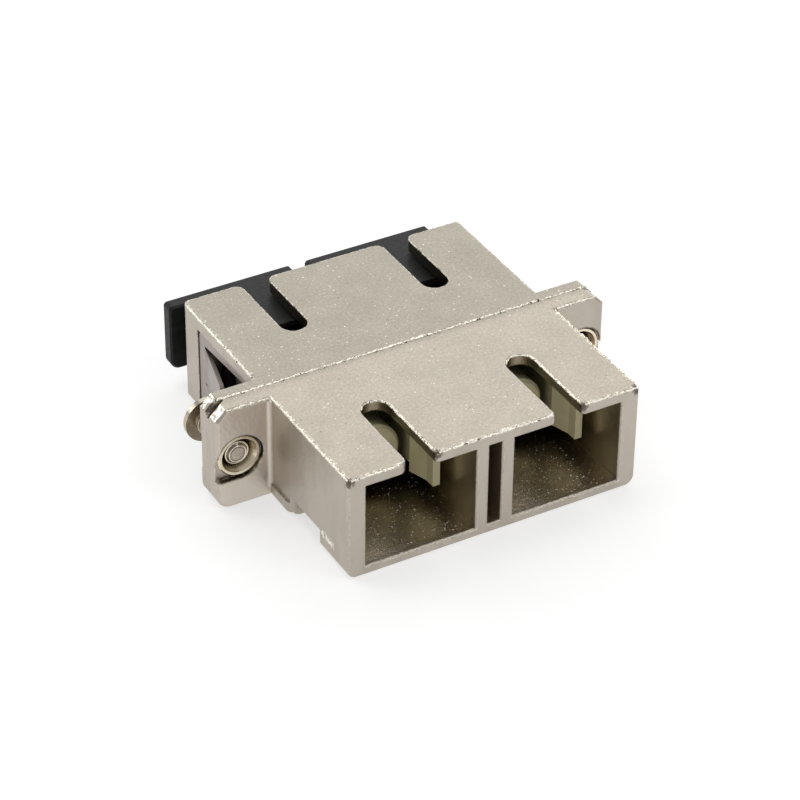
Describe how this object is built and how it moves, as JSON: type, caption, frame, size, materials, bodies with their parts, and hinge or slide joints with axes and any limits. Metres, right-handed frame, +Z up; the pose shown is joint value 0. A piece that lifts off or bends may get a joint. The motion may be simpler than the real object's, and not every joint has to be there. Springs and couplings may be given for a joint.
{
  "type": "duplex fibre optic adapter",
  "caption": "Duplex panel adapter for square push-pull fibre connectors, with a flanged metal body, sprung side clips, screws and rear dust caps.",
  "frame": {"origin": "underside, midway between the ports, in the plane where the two halves of the body meet", "axes": "+X across the ports to the right seen from the open front, +Y from the open front ports to the capped rear ports, +Z up to the keyways"},
  "size_m": [0.0344, 0.0298, 0.0091],
  "materials": {
    "nickel_plated_zinc": "satin, lightly pitted casting",
    "nickel_plated_steel": "smooth satin sheet",
    "steel_screw": "bright plated",
    "brass_bush": "dulled, turned",
    "holder_plastic": "natural cream, satin",
    "zirconia": "polished ceramic",
    "cap_plastic": "soft black plastic, satin, lightly scuffed"
  },
  "bodies": {
    "adapter": {"front_housing": "nickel_plated_zinc", "rear_housing": "nickel_plated_zinc", "clinch_bush_left": "brass_bush", "mounting_screw_left": "steel_screw", "sleeve_holder_front_left": "holder_plastic", "sleeve_holder_rear_left": "holder_plastic", "split_sleeve_left": "zirconia", "side_clip_left": "nickel_plated_steel", "clinch_bush_right": "brass_bush", "mounting_screw_right": "steel_screw", "sleeve_holder_front_right": "holder_plastic", "sleeve_holder_rear_right": "holder_plastic", "split_sleeve_right": "zirconia", "side_clip_right": "nickel_plated_steel"},
    "dust_cap_left": {"dust_cap_left": "cap_plastic"},
    "dust_cap_right": {"dust_cap_right": "cap_plastic"}
  },
  "joints": [
    {"name": "dust_cap_left_pull", "type": "slide", "parent": "adapter", "child": "dust_cap_left", "axis": [0, 1, 0], "range_m": [0, 0.006]},
    {"name": "dust_cap_right_pull", "type": "slide", "parent": "adapter", "child": "dust_cap_right", "axis": [0, 1, 0], "range_m": [0, 0.006]}
  ]
}
